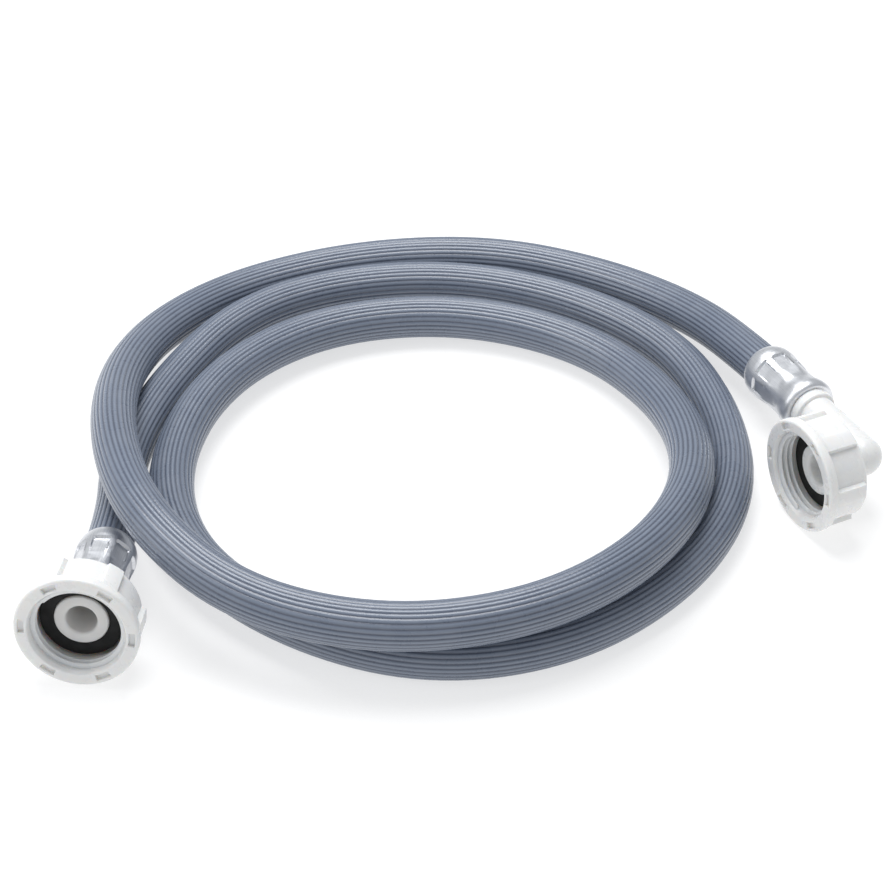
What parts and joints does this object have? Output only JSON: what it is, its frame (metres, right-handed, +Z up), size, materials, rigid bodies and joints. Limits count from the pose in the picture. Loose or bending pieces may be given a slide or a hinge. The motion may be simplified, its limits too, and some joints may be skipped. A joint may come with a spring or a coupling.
{
  "type": "appliance water supply hose",
  "caption": "Ribbed braid-reinforced water supply hose with a straight and a right-angle swivel nut end, laid in loose loops.",
  "frame": {"origin": "on the floor, under the middle of the box round the two end fittings", "axes": "+Z up; +X from the straight end towards the elbow end; the straight end's mouth faces -Y"},
  "size_m": [0.2523, 0.2216, 0.0359],
  "materials": {
    "hose_pvc": "ribbed grey PVC with a faint braid pattern",
    "braid_yarn": "polyester yarn",
    "liner_pvc": "smooth",
    "ferrule_metal": "satin, crimped",
    "tail_plastic": "natural off-white acetal",
    "white_plastic": "glossy white moulding",
    "washer_rubber": "matt black"
  },
  "bodies": {
    "hose": {"hose_cover": "hose_pvc", "hose_braid": "braid_yarn", "hose_liner": "liner_pvc", "straight_ferrule": "ferrule_metal", "straight_tail": "tail_plastic", "straight_washer": "washer_rubber", "elbow_ferrule": "ferrule_metal", "elbow_tail": "white_plastic", "elbow_washer": "washer_rubber"},
    "straight_nut": {"straight_nut": "white_plastic"},
    "elbow_nut": {"elbow_nut": "white_plastic"}
  },
  "joints": [
    {"name": "straight_nut_swivel", "type": "hinge", "parent": "hose", "child": "straight_nut", "pos_m": [-0.10762, -0.05092, 0.01659], "axis": [-0.0807, -0.9874, 0.1363], "continuous": true},
    {"name": "elbow_nut_swivel", "type": "hinge", "parent": "hose", "child": "elbow_nut", "pos_m": [0.1116, 0.01096, 0.0181], "axis": [-0.9029, -0.4298, 0], "continuous": true}
  ]
}
